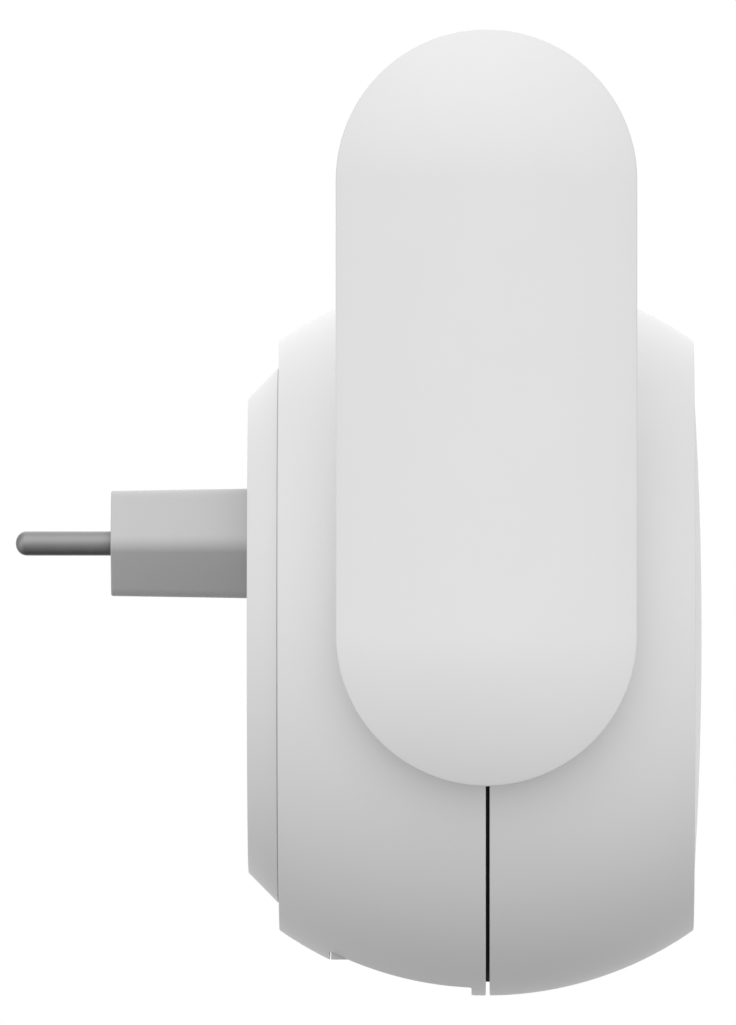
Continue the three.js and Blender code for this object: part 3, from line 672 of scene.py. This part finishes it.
def copper_material():
    mat = material("enamelled_copper", (0.55, 0.22, 0.08), 0.28, 1.0, mottle=0.08)
    nt = mat.node_tree
    wave = nt.nodes.new("ShaderNodeTexWave")
    wave.inputs["Scale"].default_value = 700
    coord = nt.nodes.new("ShaderNodeTexCoord")
    nt.links.new(coord.outputs["Object"], wave.inputs["Vector"])
    bump = nt.nodes.new("ShaderNodeBump")
    bump.inputs["Strength"].default_value = 0.6
    bump.inputs["Distance"].default_value = 0.0002
    nt.links.new(wave.outputs["Fac"], bump.inputs["Height"])
    nt.links.new(bump.outputs["Normal"], nt.nodes["Principled BSDF"].inputs["Normal"])
    return mat


def board_material():
    """Solder mask over tracks and pads."""
    mat = material("circuit_board", (0.012, 0.14, 0.05), 0.35, mottle=0.05)
    nt = mat.node_tree
    shader = nt.nodes["Principled BSDF"]
    coord = nt.nodes.new("ShaderNodeTexCoord")
    cells = nt.nodes.new("ShaderNodeTexVoronoi")
    cells.distance = "MANHATTAN"
    cells.inputs["Scale"].default_value = 220
    nt.links.new(coord.outputs["Object"], cells.inputs["Vector"])
    ramp = nt.nodes.new("ShaderNodeValToRGB")
    ramp.color_ramp.interpolation = "CONSTANT"
    ramp.color_ramp.elements[0].color = (0.45, 0.47, 0.45, 1)
    ramp.color_ramp.elements[1].position = 0.12
    ramp.color_ramp.elements[1].color = (0.010, 0.12, 0.045, 1)
    e = ramp.color_ramp.elements.new(0.42)
    e.color = (0.02, 0.19, 0.075, 1)
    nt.links.new(cells.outputs["Distance"], ramp.inputs["Fac"])
    nt.links.new(ramp.outputs["Color"], shader.inputs["Base Color"])
    return mat


CLEAR = clear_material()
COPPER = copper_material()
BOARD = board_material()


def dress(ob, mat):
    ob.data.materials.clear()
    ob.data.materials.append(mat)


# ------------------------------------------------------------------ build the visible pieces
def place(ob, mat, body, slot, *nodes):
    dress(ob, mat)
    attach(ob, body)
    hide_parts(*nodes)
    return ob


place(make_boss(), PLUG, "root", "plug_plastic", "plug_boss")
for label, y in (("left", -PIN_Y), ("right", PIN_Y)):
    place(make_pin(f"mains_pin_{label}_fine", y), NICKEL, "root", "nickel", f"mains_pin_{label}")
place(make_base(), WHITE, "root", "white_shell", "rear_base")
place(make_rear_shell(), WHITE, "root", "white_shell", "rear_shell")
place(make_front_shell(), WHITE, "root", "white_shell", "front_shell")
place(make_strip("seam_strip_upper_fine", 1), SEAM, "root", "seam_black", "seam_strip_upper")
place(make_strip("seam_strip_lower_fine", -1), SEAM, "root", "seam_black", "seam_strip_lower")
place(make_cover(), WHITE, "root", "white_shell", "front_cover")
place(make_button(), WHITE_BUTTON, "pair_button_body", "white_shell", "pair_button")
for i, y in enumerate(PIPES):
    place(make_pipe(f"light_pipe_{i + 1}_fine", y), CLEAR, "root", "clear", f"light_pipe_{i + 1}")
# the panel wears the shell's white darkened as painted shade
place(make_panel(), PANEL_PAINTED_SHADE, "root", "white_shell", "port_panel")
place(make_jack(), BLACK, "root", "component_dark", "ethernet_jack")
place(make_contacts(), GOLD, "root", "gold", "jack_contacts")
place(make_reset(), RESET, "reset_button_body", "plug_plastic", "reset_button")
for i, (y, z) in enumerate(POSTS):
    place(make_case_screw(f"case_screw_{i + 1}_fine", y, z), STEEL, "root", "steel", f"case_screw_{i + 1}")
for label, side in (("left", -1), ("right", 1)):
    body = f"antenna_{label}"
    place(make_pad_cover(f"antenna_cover_{label}_fine", side), WHITE, body, "white_shell", f"antenna_cover_{label}")
    place(make_pad_back(f"antenna_back_{label}_fine", side), WHITE, body, "white_shell", f"antenna_back_{label}")
    place(make_pad_screw(f"antenna_screw_{label}_fine", side), STEEL, body, "steel", f"antenna_screw_{label}")

SLOT_MATERIALS = {
    "white_shell": WHITE, "plug_plastic": PLUG, "nickel": NICKEL, "steel": STEEL, "black_plastic": BLACK, "seam_black": SEAM,
    "rubber_black": RUBBER, "board_green": BOARD, "copper": COPPER, "component_dark": DARK, "capacitor_sleeve": SLEEVE,
    "capacitor_yellow": YELLOW, "aluminium": ALU, "tinplate": TIN, "gold": GOLD, "clear": CLEAR, "led_white": LED,
    "lead_brown": BROWN, "lead_blue": BLUE, "cable_grey": CABLE,
}
for sub in frame["record"]["subparts"]:
    dress(frame["nodes"][sub["node"]], SLOT_MATERIALS[sub["material_slot"]])

# ------------------------------------------------------------------ floor, light and camera
bm = bmesh.new()
bmesh.ops.create_circle(bm, cap_ends=True, segments=128, radius=0.75)
me = bpy.data.meshes.new("floor")
bm.to_mesh(me)
bm.free()
floor = bpy.data.objects.new("floor", me)
floor.location = (0.05, 0, -0.24)
scene.collection.objects.link(floor)
dress(floor, material("pale_floor", (0.82, 0.82, 0.82), 0.9, mottle=0.01, rough_vary=0.02))
floor.visible_diffuse = False
floor.visible_glossy = False
floor.visible_shadow = False

# soft studio light: a pale room, brighter overhead, darker underneath; the backdrop is white
world = bpy.data.worlds.new("studio")
scene.world = world
world.use_nodes = True
nt = world.node_tree
nt.nodes.clear()
out = nt.nodes.new("ShaderNodeOutputWorld")
coord = nt.nodes.new("ShaderNodeTexCoord")
# soft lamps all round: direction and strength of each; brightest from above and from the sides towards the viewer
LOBES = [
    ((0, 0, 1), 1.015), ((-1, 0, 0), 1.096), ((1, 0, 0), 0.818), ((0, -1, 0), 0.419), ((0, 1, 0), 1.416),
    ((-1, 0, -1), 0.454), ((1, 0, -1), 0.100), ((0, -1, 1), 1.498), ((-1, -1, 0), 0.763), ((1, -1, 0), 0.717),
    ((-1, -1, 1), 0.743), ((1, -1, 1), 0.416), ((1, -1, -1), 0.886), ((0, 1, 1), 1.540),
]


def add_world(nt, coord, lobes, ambient, power):
    """Sum of soft lobes: weight * max(0, dot(direction, axis)) ** power, plus an even part."""
    total = None
    for axis, weight in lobes:
        dot = nt.nodes.new("ShaderNodeVectorMath")
        dot.operation = "DOT_PRODUCT"
        dot.inputs[1].default_value = Vector(axis).normalized()
        nt.links.new(coord.outputs["Generated"], dot.inputs[0])
        clamp = nt.nodes.new("ShaderNodeMath")
        clamp.operation = "MAXIMUM"
        clamp.inputs[1].default_value = 0.0
        nt.links.new(dot.outputs["Value"], clamp.inputs[0])
        pw = nt.nodes.new("ShaderNodeMath")
        pw.operation = "POWER"
        pw.inputs[1].default_value = power
        nt.links.new(clamp.outputs[0], pw.inputs[0])
        mul = nt.nodes.new("ShaderNodeMath")
        mul.operation = "MULTIPLY_ADD"
        mul.inputs[1].default_value = weight
        nt.links.new(pw.outputs[0], mul.inputs[0])
        if total is None:
            mul.inputs[2].default_value = ambient
        else:
            nt.links.new(total, mul.inputs[2])
        total = mul.outputs[0]
    return total


light = add_world(nt, coord, LOBES, 0.0, 4.0)
bg_light = nt.nodes.new("ShaderNodeBackground")
nt.links.new(light, bg_light.inputs["Strength"])
bg_white = nt.nodes.new("ShaderNodeBackground")
bg_white.inputs["Color"].default_value = (1, 1, 1, 1)
bg_white.inputs["Strength"].default_value = 1.0
path = nt.nodes.new("ShaderNodeLightPath")
mix = nt.nodes.new("ShaderNodeMixShader")
nt.links.new(path.outputs["Is Camera Ray"], mix.inputs["Fac"])
nt.links.new(bg_light.outputs[0], mix.inputs[1])
nt.links.new(bg_white.outputs[0], mix.inputs[2])
nt.links.new(mix.outputs[0], out.inputs["Surface"])

camera = bpy.data.cameras.new("camera")
camera.sensor_width = 36.0
camera.lens = 1100.0
camera.clip_start, camera.clip_end = 0.1, 30.0
cam = bpy.data.objects.new("camera", camera)
scene.collection.objects.link(cam)
scene.camera = cam
DISTANCE = 0.205 * 1100.0 / 36.0
cam.location = (CX * MM, -DISTANCE, CZ * MM)  # level with the middle of the ball, aimed at the middle of the frame
cam.rotation_euler = (Vector((0.0513, 0, 0.0062)) - cam.location).to_track_quat("-Z", "Y").to_euler()
scene.view_settings.view_transform = "Standard"
scene.view_settings.look = "None"
